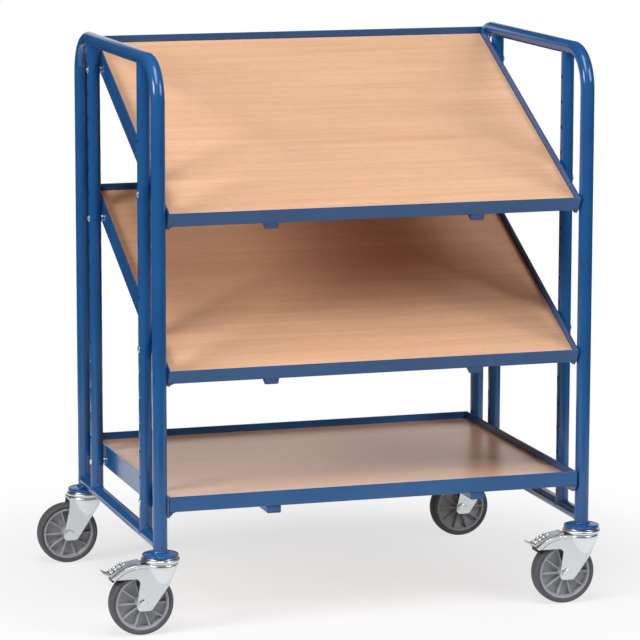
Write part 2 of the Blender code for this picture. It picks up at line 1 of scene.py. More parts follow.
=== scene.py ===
"""Looks of the euro box trolley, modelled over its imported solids.

+X runs along the shelves, -Y is the loading side, +Z is up. Pieces are modelled in millimetres: a castor's at a
leg that stands over the origin, a shelf's lying level with the front bolts on the X axis, an end frame's in the
plane X = 0. Copies in metres then go to their places.
"""

import math

import bmesh
import bpy
from mathutils import Matrix, Vector


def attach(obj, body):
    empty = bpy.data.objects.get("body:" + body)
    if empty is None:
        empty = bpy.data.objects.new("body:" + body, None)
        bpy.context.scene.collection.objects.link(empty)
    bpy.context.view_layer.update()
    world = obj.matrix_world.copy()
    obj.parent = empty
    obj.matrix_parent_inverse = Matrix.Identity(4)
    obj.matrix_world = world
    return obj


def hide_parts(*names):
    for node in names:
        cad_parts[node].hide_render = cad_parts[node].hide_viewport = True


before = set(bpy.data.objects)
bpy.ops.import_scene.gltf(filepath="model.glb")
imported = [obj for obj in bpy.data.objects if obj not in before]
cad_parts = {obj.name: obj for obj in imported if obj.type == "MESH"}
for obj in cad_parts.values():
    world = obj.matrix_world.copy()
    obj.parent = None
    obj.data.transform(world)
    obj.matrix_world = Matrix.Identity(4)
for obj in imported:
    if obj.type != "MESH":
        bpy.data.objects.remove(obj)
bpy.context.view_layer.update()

MM = 0.001
SIDES = {"left": -1, "right": 1}
ENDS = {"front": -1, "rear": 1}

# Places, in millimetres
MIDDLE_X = 38.75             # of the two end frames; the castors trail towards -X
FRAME_X = 430
LEG_Y = 307.5
POST_Y = 200
LEG_R = 13.75                # legs and push bar
TUBE_R = 12.9                # posts and cross tubes
TUBE_WALL = 2
BEND_R = 75
BAR_Z = 1091.6
CROSS_Z = 171.5
DISC_TOP_Z = 158
LOWEST_HOLE_Z = 232
HOLE_SPACING = 50
HOLE_COUNT = 17
HOLE_R = 4.5
AXLE = Vector((-39, 0, 62.5))
PIVOT = Vector((-50, 0, 132.5))
SHELVES = {"bottom": (0, 0), "middle": (6, 10), "top": (12, 16)}  # front and rear hole of each shelf
SHELF_FRONT = -120.95        # from a shelf's front bolts
SHELF_REAR = 520.95
BOLT_SPAN = 2 * POST_Y       # from the front to the rear bolts of a level shelf
TILTED_SPAN = math.hypot(BOLT_SPAN, 4 * HOLE_SPACING)  # and of a tilted one, along it
RAIL_IN, RAIL_OUT = 411, 414  # faces of the side rails
RAIL_WALL = 3
CHANNEL_X = 207
SHEET = 3                    # of forks and pedals
CHEEK_Y = 22                 # outer faces of a fork
ROLL_Y = (16.3, 23.8)        # the rolled edge of a brake wing, and the gap below it
SEAM_Y = (20.7, 26)
PEDAL_HALF = 15.5            # half widths
SHOE_HALF = 13.4
SHOE_R = 71.8                # of the shoe's hollow


# ---------------------------------------------------------------- modelling

def begin(add, **settings):
    """Adds a primitive with nothing else selected, and opens it for shaping."""
    if bpy.context.mode != "OBJECT":
        bpy.ops.object.mode_set(mode="OBJECT")
    bpy.ops.object.select_all(action="DESELECT")
    add(**settings)
    bpy.ops.object.transform_apply(location=True, rotation=True, scale=True)
    bpy.ops.object.mode_set(mode="EDIT")
    bpy.ops.mesh.select_mode(type="VERT")
    bpy.ops.mesh.select_all(action="SELECT")


def pick(kind, test):
    """Selects the points, edges or faces whose middle and direction pass a test."""
    bpy.ops.mesh.select_mode(type=kind)
    bpy.ops.mesh.select_all(action="DESELECT")
    mesh = bpy.context.edit_object.data
    shape = bmesh.from_edit_mesh(mesh)
    if kind == "VERT":
        found = [(item, item.co, item.normal) for item in shape.verts]
    elif kind == "EDGE":
        found = [(item, (item.verts[0].co + item.verts[1].co) / 2, item.verts[1].co - item.verts[0].co)
                 for item in shape.edges]
    else:
        found = [(item, item.calc_center_median(), item.normal) for item in shape.faces]
    for item, middle, way in found:
        if test(middle, way.normalized()):
            item.select_set(True)
    shape.select_flush_mode()
    bmesh.update_edit_mesh(mesh)


def pick_all():
    bpy.ops.mesh.select_all(action="SELECT")


def extrude(x=0, y=0, z=0):
    bpy.ops.mesh.extrude_region_move(TRANSFORM_OT_translate={"value": (x, y, z)})


def bevel(width, steps=2):
    bpy.ops.mesh.bevel(offset=width, segments=steps, affect="EDGES", clamp_overlap=True)


def turn(degrees, axis, centre):
    """Turns what is selected, anticlockwise as seen from the axis's tip."""
    bpy.ops.transform.rotate(value=-math.radians(degrees), orient_axis=axis, center_override=centre)


def draw(points):
    """Draws a line from point to point; it closes where the last point is the first one again."""
    begin(bpy.ops.mesh.primitive_plane_add, size=1, location=points[0])
    bpy.ops.mesh.merge(type="CENTER")
    for here, there in zip(points, points[1:]):
        extrude(*(Vector(there) - Vector(here)))
    pick_all()
    bpy.ops.mesh.remove_doubles(threshold=0.001)


def rounded(corners, steps=5):
    """A closed outline from corners, each with the radius that rounds it off."""
    points = []
    for number, (across, up, radius) in enumerate(corners):
        here = Vector((across, up))
        before = Vector(corners[number - 1][:2]) - here
        after = Vector(corners[(number + 1) % len(corners)][:2]) - here
        if not radius:
            points.append(here)
            continue
        half = before.angle(after) / 2
        centre = here + (before.normalized() + after.normalized()).normalized() * radius / math.sin(half)
        first = here + before.normalized() * radius / math.tan(half) - centre
        sweep = first.angle_signed(here + after.normalized() * radius / math.tan(half) - centre)
        for step in range(steps + 1):
            angle = -sweep * step / steps
            spoke = Vector((first.x * math.cos(angle) - first.y * math.sin(angle),
                            first.x * math.sin(angle) + first.y * math.cos(angle)))
            points.append(centre + spoke)
    return points + points[:1]


def plate(outline, low, high, along="Y"):
    """A flat outline given its thickness: X and Z points along Y, or Y and Z points along X."""
    if along == "Y":
        draw([(across, low, up) for across, up in outline])
    else:
        draw([(low, across, up) for across, up in outline])
    pick_all()
    bpy.ops.mesh.edge_face_add()
    extrude(**{along.lower(): high - low})
    pick_all()
    bpy.ops.mesh.normals_make_consistent(inside=False)


def turned(profile, axis="Z", centre=(0, 0, 0), steps=64):
    """A profile of radius and height, spun round an axis through a centre."""
    places = {"X": lambda r, h: (h, r, 0), "Y": lambda r, h: (r, h, 0), "Z": lambda r, h: (r, 0, h)}
    draw([Vector(places[axis](r, h)) + Vector(centre) for r, h in profile])
    pick_all()
    way = {"X": (1, 0, 0), "Y": (0, 1, 0), "Z": (0, 0, 1)}[axis]
    bpy.ops.mesh.spin(steps=steps, angle=math.tau, center=centre, axis=way)
    pick_all()
    bpy.ops.mesh.remove_doubles(threshold=0.001)
    bpy.ops.mesh.normals_make_consistent(inside=False)


def shaped(finish, sharp=35):
    """Ends the shaping, and gives the piece its finish."""
    bpy.ops.object.mode_set(mode="OBJECT")
    made = bpy.context.object
    made.data.materials.clear()
    made.data.materials.append(finish)
    bpy.ops.object.shade_smooth_by_angle(angle=math.radians(sharp))
    return made


def capped(finish):
    """Closes the open ends of a tube, and ends the shaping."""
    pick_all()
    bpy.ops.mesh.fill_holes(sides=0)
    bpy.ops.mesh.normals_make_consistent(inside=False)
    return shaped(finish)


def select(piece, *others):
    """Selects these pieces alone, the first of them active."""
    bpy.ops.object.select_all(action="DESELECT")
    for one in (piece, *others):
        one.select_set(True)
    bpy.context.view_layer.objects.active = piece


def clear(piece):
    """Takes a piece away."""
    bpy.data.objects.remove(piece, do_unlink=True)


def join(piece, *others):
    """Makes one piece of several."""
    select(piece, *others)
    bpy.ops.object.join()
    return piece


def apply(piece, kind, **settings):
    """Adds a modifier to a piece and applies it."""
    modifier = piece.modifiers.new(kind.lower(), kind)
    for name, value in settings.items():
        setattr(modifier, name, value)
    select(piece)
    bpy.ops.object.modifier_apply(modifier=modifier.name)


def carve(piece, tool, operation="DIFFERENCE"):
    """Cuts a piece with another one, or welds it on, and clears the other one away."""
    apply(piece, "BOOLEAN", operation=operation, solver="EXACT", object=tool)
    clear(tool)
    return piece


def in_a_row(piece, **settings):
    """Repeats a piece for every hole of a post."""
    apply(piece, "ARRAY", count=HOLE_COUNT, use_relative_offset=False, use_constant_offset=True,
          constant_offset_displace=(0, 0, HOLE_SPACING), **settings)


def smooth(piece, sharp=35):
    """Shades a piece smooth, apart from edges sharper than so many degrees."""
    select(piece)
    bpy.ops.object.shade_smooth_by_angle(angle=math.radians(sharp))
    return piece


def moved(piece, place, turned_by=(0, 0, 0)):
    """Turns a piece by degrees about the axes, and moves it."""
    piece.location = place
    piece.rotation_euler = [math.radians(angle) for angle in turned_by]
    select(piece)
    bpy.ops.object.transform_apply(location=True, rotation=True, scale=True)
    return piece


def copied(piece, place, turned_by=(0, 0, 0)):
    """A copy with a mesh of its own, in another place."""
    made = piece.copy()
    made.data = piece.data.copy()
    bpy.context.scene.collection.objects.link(made)
    return moved(made, place, turned_by)


def fit(piece, name, node, body, place, turned_by=(0, 0, 0)):
    """Puts a copy in metres where it belongs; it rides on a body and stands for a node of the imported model."""
    made = copied(piece, Vector(place) + Vector((MIDDLE_X, 0, 0)), turned_by)
    made.name = made.data.name = name
    made.scale = (MM, MM, MM)
    bpy.ops.object.transform_apply(location=True, rotation=True, scale=True)
    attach(made, body)
    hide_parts(node)


# ---------------------------------------------------------------- materials

def colour(code):
    """An sRGB hex colour as linear red, green, blue and alpha."""
    parts = [int(code[at:at + 2], 16) / 255 for at in (1, 3, 5)]
    return [part / 12.92 if part <= 0.04045 else ((part + 0.055) / 1.055) ** 2.4 for part in parts] + [1]


def add(tree, kind, links=None, stops=None, **settings):
    """Adds a node; its sockets get values or the sockets that feed them, a ramp gets its stops."""
    made = tree.nodes.new(kind)
    for name, value in settings.items():
        setattr(made, name, value)
    for name, value in (links or {}).items():
        if isinstance(value, bpy.types.NodeSocket):
            tree.links.new(value, made.inputs[name])
        else:
            made.inputs[name].default_value = value
    for number, (place, code) in enumerate(stops or []):
        stop = made.color_ramp.elements[number] if number < 2 else made.color_ramp.elements.new(place)
        stop.position, stop.color = place, colour(code)
    return made


def material(name):
    """A new material, its node tree, its shader and the place on the object that patterns are laid by."""
    made = bpy.data.materials.new(name)
    made.use_nodes = True
    tree = made.node_tree
    return made, tree, tree.nodes["Principled BSDF"], add(tree, "ShaderNodeTexCoord").outputs["Object"]


def per_mm(size):
    """The scale that repeats a pattern once every so many millimetres."""
    return 1 / (size * MM)


def clouded(tree, shader, place, size, detail, stops):
    """Lets the base colour drift between two tints, in clouds of a size in millimetres."""
    cloud = add(tree, "ShaderNodeTexNoise", {"Vector": place, "Scale": per_mm(size), "Detail": detail})
    tint = add(tree, "ShaderNodeValToRGB", {"Fac": cloud.outputs["Fac"]}, stops=stops)
    tree.links.new(tint.outputs["Color"], shader.inputs["Base Color"])
    return cloud.outputs["Fac"]


def grained(tree, shader, place, size, detail, strength):
    """Makes the surface faintly uneven, in grains of a size in millimetres and 0.1 mm high."""
    grain = add(tree, "ShaderNodeTexNoise", {"Vector": place, "Scale": per_mm(size), "Detail": detail})
    bump = add(tree, "ShaderNodeBump", {"Height": grain.outputs["Fac"], "Strength": strength, "Distance": 0.1 * MM})
    tree.links.new(bump.outputs["Normal"], shader.inputs["Normal"])


# Powder coat on steel: baked gloss paint, which pools into a faint orange peel a few millimetres wide.
BLUE_PAINT, tree, shader, place = material("blue_powder_coat")
clouded(tree, shader, place, 140, 2, [(0.35, "#21568F"), (0.65, "#265E99")])
grained(tree, shader, place, 3.5, 1, 0.25)
shader.inputs["Roughness"].default_value = 0.16
shader.inputs["IOR"].default_value = 1.5

# Board with a printed beech decor under a satin melamine film: long pale streaks, and short darker flecks that are
# drawn coarser than real ones.
BEECH_DECOR, tree, shader, place = material("beech_decor_board")
along = add(tree, "ShaderNodeMapping", {"Vector": place, "Scale": (per_mm(420), per_mm(14), per_mm(14))})
streak = add(tree, "ShaderNodeTexNoise", {"Vector": along.outputs["Vector"], "Scale": 1, "Detail": 5,
                                          "Roughness": 0.6, "Distortion": 0.3})
tint = add(tree, "ShaderNodeValToRGB", {"Fac": streak.outputs["Fac"]},
           stops=[(0.3, "#E3B18C"), (0.7, "#F0C29F")])
short = add(tree, "ShaderNodeMapping", {"Vector": place, "Scale": (per_mm(16), per_mm(2), per_mm(2))})
fleck = add(tree, "ShaderNodeTexNoise", {"Vector": short.outputs["Vector"], "Scale": 1, "Detail": 2})
dark = add(tree, "ShaderNodeMapRange", {"Value": fleck.outputs["Fac"], "From Min": 0.56, "From Max": 0.72,
                                        "To Min": 0, "To Max": 0.35})
mixed = add(tree, "ShaderNodeMix", {0: dark.outputs["Result"], 6: tint.outputs["Color"], 7: colour("#C68F68")},
            data_type="RGBA")
tree.links.new(mixed.outputs[2], shader.inputs["Base Color"])
shader.inputs["Roughness"].default_value = 0.3
shader.inputs["IOR"].default_value = 1.5

# Steel, pressed and zinc plated: a bright bluish grey with soft reflections that cloud over in patches.
ZINC, tree, shader, place = material("bright_zinc_plate")
cloud = clouded(tree, shader, place, 18, 4, [(0.3, "#DFE4E7"), (0.7, "#EAEEF0")])
haze = add(tree, "ShaderNodeMapRange", {"Value": cloud, "From Min": 0.3, "From Max": 0.7,
                                        "To Min": 0.3, "To Max": 0.38})
tree.links.new(haze.outputs["Result"], shader.inputs["Roughness"])
shader.inputs["Metallic"].default_value = 1

# Polypropylene, moulded in grey: an even satin skin, its fine grain drawn coarser than it is.
HUB_GREY, tree, shader, place = material("grey_polypropylene")
clouded(tree, shader, place, 25, 3, [(0.3, "#A3A5AA"), (0.7, "#ACAEB3")])
grained(tree, shader, place, 1.2, 1, 0.15)
shader.inputs["Roughness"].default_value = 0.45
shader.inputs["IOR"].default_value = 1.49

# Thermoplastic rubber, grey and non-marking: dull, with a faint bloom, its fine grain drawn coarser than it is.
RUBBER, tree, shader, place = material("grey_rubber")
clouded(tree, shader, place, 12, 4, [(0.3, "#515156"), (0.7, "#5B5B60")])
grained(tree, shader, place, 1, 2, 0.3)
shader.inputs["Roughness"].default_value = 0.68
shader.inputs["IOR"].default_value = 1.52

# Polyamide, moulded in black: satin, a little paler on worn patches.
SHOE_BLACK, tree, shader, place = material("black_polyamide")
clouded(tree, shader, place, 8, 3, [(0.3, "#1B1B1D"), (0.7, "#26262A")])
shader.inputs["Roughness"].default_value = 0.5
shader.inputs["IOR"].default_value = 1.53


# ---------------------------------------------------------------- end frames

def rippled(bead):
    """Gives a weld bead the uneven ripples of a hand-made seam."""
    ripple = bpy.data.textures.new("weld_ripple", "CLOUDS")
    ripple.noise_scale = 3.2
    apply(bead, "DISPLACE", texture=ripple, strength=1.5, mid_level=0.5, texture_coords="LOCAL")
    return smooth(bead, 60)


def foot_bead():
    """The seam round a leg's foot."""
    begin(bpy.ops.mesh.primitive_torus_add, major_segments=96, minor_segments=14,
          major_radius=LEG_R + 0.6, minor_radius=2.6, location=(0, 0, DISC_TOP_Z + 0.3))
    pick("VERT", lambda at, way: at.z > DISC_TOP_Z)
    bpy.ops.transform.resize(value=(1, 1, 1.25), center_override=(0, 0, DISC_TOP_Z))
    return rippled(shaped(BLUE_PAINT))


def saddle_bead():
    """The seam where one tube stands on another: a ring whose halves are folded up by 45 degrees."""
    begin(bpy.ops.mesh.primitive_torus_add, major_segments=96, minor_segments=12,
          major_radius=TUBE_R + 0.2, minor_radius=1.3)
    for half in (-1, 1):
        pick("VERT", lambda at, way: at.y * half > 0.01)
        turn(45 * half, "X", (0, 0, 0))
        bpy.ops.transform.resize(value=(1, math.sqrt(2), math.sqrt(2)), center_override=(0, 0, 0))
    return rippled(shaped(BLUE_PAINT))


def bent_tube():
    """A leg, the push bar and the other leg."""
    inside = LEG_Y - BEND_R
    begin(bpy.ops.mesh.primitive_circle_add, vertices=40, radius=LEG_R, location=(0, -LEG_Y, DISC_TOP_Z))
    extrude(z=BAR_Z - BEND_R - DISC_TOP_Z)
    bpy.ops.mesh.spin(steps=20, angle=math.pi / 2, center=(0, -inside, BAR_Z - BEND_R), axis=(1, 0, 0))
    extrude(y=2 * inside)
    bpy.ops.mesh.spin(steps=20, angle=math.pi / 2, center=(0, inside, BAR_Z - BEND_R), axis=(1, 0, 0))
    extrude(z=DISC_TOP_Z + BEND_R - BAR_Z)
    return capped(BLUE_PAINT)


def lower_tube():
    """The cross tube between the legs, with the seams at its ends and at the posts that stand on it."""
    begin(bpy.ops.mesh.primitive_circle_add, vertices=40, radius=TUBE_R,
          location=(0, -LEG_Y, CROSS_Z), rotation=(math.pi / 2, 0, 0))
    extrude(y=2 * LEG_Y)
    tube = capped(BLUE_PAINT)
    seam = saddle_bead()
    seams = [copied(seam, (0, -way * POST_Y, CROSS_Z)) for way in (-1, 1)]
    seams += [copied(seam, (0, way * LEG_Y, CROSS_Z), (way * 90, 0, 0)) for way in (-1, 1)]
    clear(seam)
    return join(tube, *seams)


def punched_post():
    """A tube that the punch has dished round every hole; one spacing of it is modelled, then repeated."""
    half = HOLE_SPACING / 2
    lowest, highest = LOWEST_HOLE_Z - half, LOWEST_HOLE_Z + (HOLE_COUNT - 0.5) * HOLE_SPACING
    flats = {-8: 12.5, -6.2: 12.05, -3: 11.85, 3: 11.85, 6.2: 12.05, 8: 12.5}  # by height from a hole's middle
    begin(bpy.ops.mesh.primitive_circle_add, vertices=48, radius=TUBE_R, location=(0, 0, lowest))
    reached = -half
    for height in (-9.4, *flats, 9.4, half):
        extrude(z=height - reached)
        reached = height
    for height, flat in flats.items():
        for way in (-1, 1):
            pick("VERT", lambda at, _: abs(at.z - LOWEST_HOLE_Z - height) < 0.1 and at.x * way > flat)
            bpy.ops.transform.resize(value=(0, 1, 1), center_override=(way * flat, 0, LOWEST_HOLE_Z))
    pick_all()
    bpy.ops.mesh.normals_make_consistent(inside=False)
    post = shaped(BLUE_PAINT)
    in_a_row(post, use_merge_vertices=True, merge_threshold=0.01)
    bpy.ops.object.mode_set(mode="EDIT")
    for end, reach in ((lowest, CROSS_Z), (highest, BAR_Z)):
        pick("EDGE", lambda at, way: abs(at.z - end) < 0.1 and abs(way.z) < 0.1)
        extrude(z=reach - end)
    shaped(BLUE_PAINT)
    apply(post, "SOLIDIFY", thickness=TUBE_WALL, offset=-1, use_even_offset=True)
    begin(bpy.ops.mesh.primitive_cylinder_add, vertices=28, radius=HOLE_R, depth=4 * TUBE_R,
          location=(0, 0, LOWEST_HOLE_Z), rotation=(0, math.pi / 2, 0))
    punch = shaped(BLUE_PAINT)
    in_a_row(punch)
    carve(post, punch)
    return smooth(post, 40)


def foot_plate():
    """The disc under a leg, with the leg's seam on it."""
    turned([(0, 150), (33.2, 150), (34.4, 150.5), (35, 151.6), (35, 153.6), (34.7, 154.5),
            (33.8, 155.2), (30, 156.1), (22, 157.4), (16, 158), (0, 158)])
    disc = shaped(BLUE_PAINT)
    return join(disc, foot_bead())


# ---------------------------------------------------------------- shelves

def shelf_rim():
    """Angle rails in front and behind, between two deeper side rails with holes for the bolts."""
    opposite = {"place": (0, BOLT_SPAN, 0), "turned_by": (0, 0, 180)}
    front, low, high, flange = SHELF_FRONT, 3.7, 33.7, 30
    angle = rounded([(front, low, 3.2), (front + flange, low, 0.8), (front + flange, low + RAIL_WALL, 0.8),
                     (front + RAIL_WALL, low + RAIL_WALL, 1), (front + RAIL_WALL, high, 0.8), (front, high, 0.8)], 4)
    length = RAIL_OUT - 0.2
    plate(angle, -length, length, along="X")
    near = shaped(BLUE_PAINT)
    far = copied(near, **opposite)
    front, rear, low, high = SHELF_FRONT + 0.4, SHELF_REAR - 0.4, -10.5, 33.6
    side = rounded([(front, high, 0), (front, low, 20), (rear, low, 20), (rear, high, 0)], 8)
    plate(side, RAIL_IN, RAIL_OUT, along="X")
    pick("EDGE", lambda at, way: abs(way.x) < 0.1)
    bevel(0.7)
    rail = shaped(BLUE_PAINT)
    middle = (RAIL_IN + RAIL_OUT) / 2
    begin(bpy.ops.mesh.primitive_cylinder_add, vertices=28, radius=HOLE_R, depth=20, location=(middle, 0, 0),
          rotation=(0, math.pi / 2, 0))
    for step in (BOLT_SPAN, TILTED_SPAN - BOLT_SPAN):
        bpy.ops.mesh.duplicate_move(TRANSFORM_OT_translate={"value": (0, step, 0)})
    carve(rail, shaped(BLUE_PAINT))
    smooth(rail)
    other = copied(rail, (-2 * middle, 0, 0))
    ear = [(411.5, 4.5), (403, 4.5), (403, 3.7), (406.6, 2.8), (408.9, 1), (410.2, -2.2), (411.5, -2.2)]
    ears = []
    for way in (-1, 1):
        plate([(way * x, z) for x, z in ear + ear[:1]], front, front + RAIL_WALL)
        ears.append(shaped(BLUE_PAINT))
    ears += [copied(made, **opposite) for made in list(ears)]
    return join(near, far, rail, other, *ears)


def shelf_board():
    """A board with its edges broken."""
    begin(bpy.ops.mesh.primitive_cube_add, size=1, scale=(821, 634.9, 12), location=(0, BOLT_SPAN / 2, 13))
    pick_all()
    bevel(0.9)
    return shaped(BEECH_DECOR)


def shelf_channel():
    """A folded channel under the board, open upwards, its ends closed by folded tabs."""
    corners = [(-14, 3.4, 0.6), (-14, -10.6, 2.6), (14, -10.6, 2.6), (14, 3.4, 0.6), (12, 3.4, 0.6),
               (12, -8.6, 0.8), (-12, -8.6, 0.8), (-12, 3.4, 0.6)]
    tab = rounded([(-12.5, 3, 0.6), (-12.5, -9, 0.6), (12.5, -9, 0.6), (12.5, 3, 0.6)], 2)
    wall, inset = 2, 0.3
    front, rear = SHELF_FRONT + RAIL_WALL + inset, SHELF_REAR - RAIL_WALL - inset
    plate(rounded(corners, 4), front, rear)
    pieces = [shaped(BLUE_PAINT)]
    for low in (front + inset, rear - inset - wall):
        plate(tab, low, low + wall)
        pieces.append(shaped(BLUE_PAINT))
    return join(*pieces)


def hexagon(across_flats, low, high, axis, chamfered):
    """A hexagon head or nut, its corners turned off at one end or at both."""
    corner, flat = across_flats / math.sqrt(3), across_flats / 2 * 0.97
    spin = {"X": (0, math.pi / 2, 0), "Y": (math.pi / 2, 0, 0)}[axis]
    middle = (low + high) / 2
    begin(bpy.ops.mesh.primitive_cylinder_add, vertices=6, radius=corner, depth=abs(high - low) + 4,
          location=(middle, 0, 0) if axis == "X" else (0, middle, 0), rotation=spin)
    head = shaped(ZINC)
    wide = corner * 1.03
    drop = (wide - flat) * math.tan(math.radians(30)) * math.copysign(1, high - low)
    start = [(flat, low), (wide, low + drop)] if chamfered == "both" else [(wide, low)]
    turned([(0, low), *start, (wide, high - drop), (flat, high), (0, high)], axis, steps=72)
    return smooth(carve(head, shaped(ZINC), "INTERSECT"), 25)


def shelf_fixing():
    """A bolt through post and side rail, with its spacing washer and nut; its low round head is towards +X."""
    turned([(0, 441.9), (6.2, 441.9), (6.5, 442.2), (6.5, 442.8), (6.1, 443.5), (5, 444), (2.6, 444.3), (2.2, 443.6),
            (0, 443.3)], "X", steps=48)
    head = shaped(ZINC)
    nut = hexagon(13, 410.7, 404.2, "X", "both")
    half_pitch = 0.625
    thread = [(3.9 if step % 2 else 3.35, 401.9 + step * half_pitch) for step in range(20)]
    turned([(0, 401.7), (2.9, 401.7), *thread, (4, 414.3), (4, 442.4), (0, 442.4)], "X", steps=32)
    shank = shaped(ZINC)
    turned([(4.2, 414.3), (7.6, 414.3), (8, 414.7), (8, 417.76), (7.6, 418.16), (4.2, 418.16), (4.2, 414.3)], "X")
    washer = shaped(ZINC)
    return join(head, nut, shank, washer)


# ---------------------------------------------------------------- castors

def swivel_head():
    """The pressed cup with its rolled rim, the kingpin through the fork and the stud into the leg."""
    turned([
        (0, 183), (5, 183), (6, 182), (6, 149.7), (31, 149.7), (32.2, 149.3), (32.6, 148.2), (33.4, 147.5),
        (35.2, 147.3), (36.6, 146.6), (37.4, 145.2), (37.5, 143.6), (37.2, 142), (36.4, 140.8), (35, 140.1),
        (33.5, 139.9), (32.8, 139.4), (31, 139.2), (7, 139.2), (7, 133.4), (12.6, 133.4), (13, 133), (13, 131),
        (12.4, 130.4), (6.5, 130.4), (5.6, 128.6), (0, 128.2),
    ])
    return shaped(ZINC)


def fork_shoulder(wall):
    """The round crown, drawn down to the flat cheeks; smaller by a wall, it is the hollow inside."""
    side = [(18, 92), (20, 96), (22.6, 102), (25.6, 109), (28.4, 115.5), (30.8, 121.5), (32.6, 126.5), (33.6, 130),
            (34, 133)]
    side += [(34, 133.9)] if wall else [(33.8, 135.5), (33, 137.4), (31.6, 138.6), (30, 138.95)]
    profile = [(radius - wall, z) for radius, z in side]
    turned([(0, 92), *profile, (0, profile[-1][1])])
    return shaped(ZINC)


def rolled_edge():
    """The top edge of a brake wing, rolled over, from the crown out to the tip."""
    outline = rounded([(-36, 139.5, 0), (-55, 139.5, 30), (-77.5, 134.2, 40), (-101, 116.2, 2), (-97.5, 112.6, 2),
                       (-93.8, 113.4, 0), (-74.6, 128.1, 34), (-54.3, 133.6, 24), (-36, 133.6, 0)])
    plate(outline, *ROLL_Y)
    pick("EDGE", lambda at, way: abs(at.y - ROLL_Y[1]) < 0.01 and abs(way.y) < 0.1)
    bevel(2.6, 4)
    return shaped(ZINC)


def rolled_seam():
    """The narrow gap that the roll leaves below it in the cheek."""
    outline = rounded([(-94.6, 113.6, 0), (-74.6, 128.9, 34), (-54.3, 134.4, 24), (-30, 134.4, 0), (-30, 131.9, 0),
                       (-53.9, 131.9, 24), (-73.4, 126.4, 34), (-93, 111.6, 0)])
    plate(outline, *SEAM_Y)
    return shaped(ZINC)


def castor_fork(braked):
    """Pressed from sheet: a round crown and two cheeks; a braked one has wings with rolled top edges."""
    eye = [(-53, 49.5, 9), (-23, 49.5, 9)]
    if braked:
        outline = eye + [(11, 96, 40), (26, 130.7, 12), (26, 138.7, 2), (-55, 138.7, 30), (-77, 132.7, 40),
                         (-99.75, 115.3, 1.5), (-96.75, 113.2, 1.5), (-50, 113.2, 7), (-45, 106.2, 5)]
    else:
        outline = eye + [(26, 123.7, 14), (26, 138.7, 2), (-37, 138.7, 3), (-39, 112.7, 20)]
    plate(rounded(outline), -CHEEK_Y, CHEEK_Y)
    fork = shaped(ZINC)
    carve(fork, fork_shoulder(0), "UNION")
    begin(bpy.ops.mesh.primitive_cube_add, size=1, scale=(240, 2 * (CHEEK_Y - SHEET), 120), location=(-20, 0, 73.7))
    carve(fork, shaped(ZINC))
    carve(fork, fork_shoulder(SHEET))
    if braked:
        begin(bpy.ops.mesh.primitive_cube_add, size=1, scale=(100, 32, 60), location=(-87, 0, 130))
        carve(fork, shaped(ZINC))
        seam = rolled_seam()
        opposite = copied(seam, (0, -sum(SEAM_Y), 0))
        carve(fork, seam)
        carve(fork, opposite)
    begin(bpy.ops.mesh.primitive_cylinder_add, vertices=32, radius=7.3, depth=20, location=(0, 0, 136))
    carve(fork, shaped(ZINC))
    smooth(fork, 28)
    if braked:
        edges = rolled_edge()
        apply(edges, "MIRROR", use_axis=(False, True, False))
        join(fork, edges)
    return fork


def axle_bolt():
    """A hexagon at each cheek and the shank between them."""
    turned([(0, -25), (5, -25), (5, 25), (0, 25)], "Y", steps=32)
    low, high = CHEEK_Y + 0.1, CHEEK_Y + 5.1
    pieces = [shaped(ZINC)] + [hexagon(17, way * low, way * high, "Y", "end") for way in (-1, 1)]
    return moved(join(*pieces), AXLE)


def turned_alike(lower, steps):
    """A ring round the Y axis from one half of its profile, alike on both sides."""
    profile = lower + [(r, -y) for r, y in reversed(lower)]
    turned(profile + profile[:1], "Y", steps=steps)


def wheel_hub():
    """Moulded with ten ribs on each side between the boss and the rim."""
    lower = [(5.3, -18.2), (10.5, -18.2), (11.6, -17.6), (12, -16.6), (14, -5), (15, -4), (43.5, -4), (45, -4.8),
             (47.6, -12.6), (48.2, -13.6), (49, -14), (51.6, -14), (52.4, -13.7), (52.7, -13)]
    turned_alike(lower, 80)
    hub = shaped(HUB_GREY)
    middle = (30, -8.5, 0)
    begin(bpy.ops.mesh.primitive_cube_add, size=1, scale=(36, 10, 3.4), location=middle)
    pick("FACE", lambda at, way: way.y < -0.9)
    bpy.ops.transform.resize(value=(1, 1, 0.6), center_override=middle)
    pick("VERT", lambda at, way: at.x > 40)
    bpy.ops.transform.resize(value=(1, 1, 1.25), center_override=(48, -8.5, 0))
    pick("EDGE", lambda at, way: at.y < -13 and abs(way.x) > 0.9)
    bevel(0.6)
    pick_all()
    bpy.ops.mesh.spin(steps=9, dupli=True, angle=math.tau * 0.9, center=(0, 0, 0), axis=(0, 1, 0))
    ribs = shaped(HUB_GREY)
    others = copied(ribs, (0, 0, 0), (0, 0, 180))
    return moved(join(hub, ribs, others), AXLE)


def wheel_tyre():
    """A tread with round shoulders."""
    lower = [(53, -14.1), (54.2, -15), (55.6, -15.7), (57.4, -16), (58.8, -15.7), (60.2, -14.6), (61.2, -12.8),
             (61.9, -10.2), (62.3, -7), (62.5, -3.5)]
    turned_alike(lower, 96)
    return moved(shaped(RUBBER, 50), AXLE)


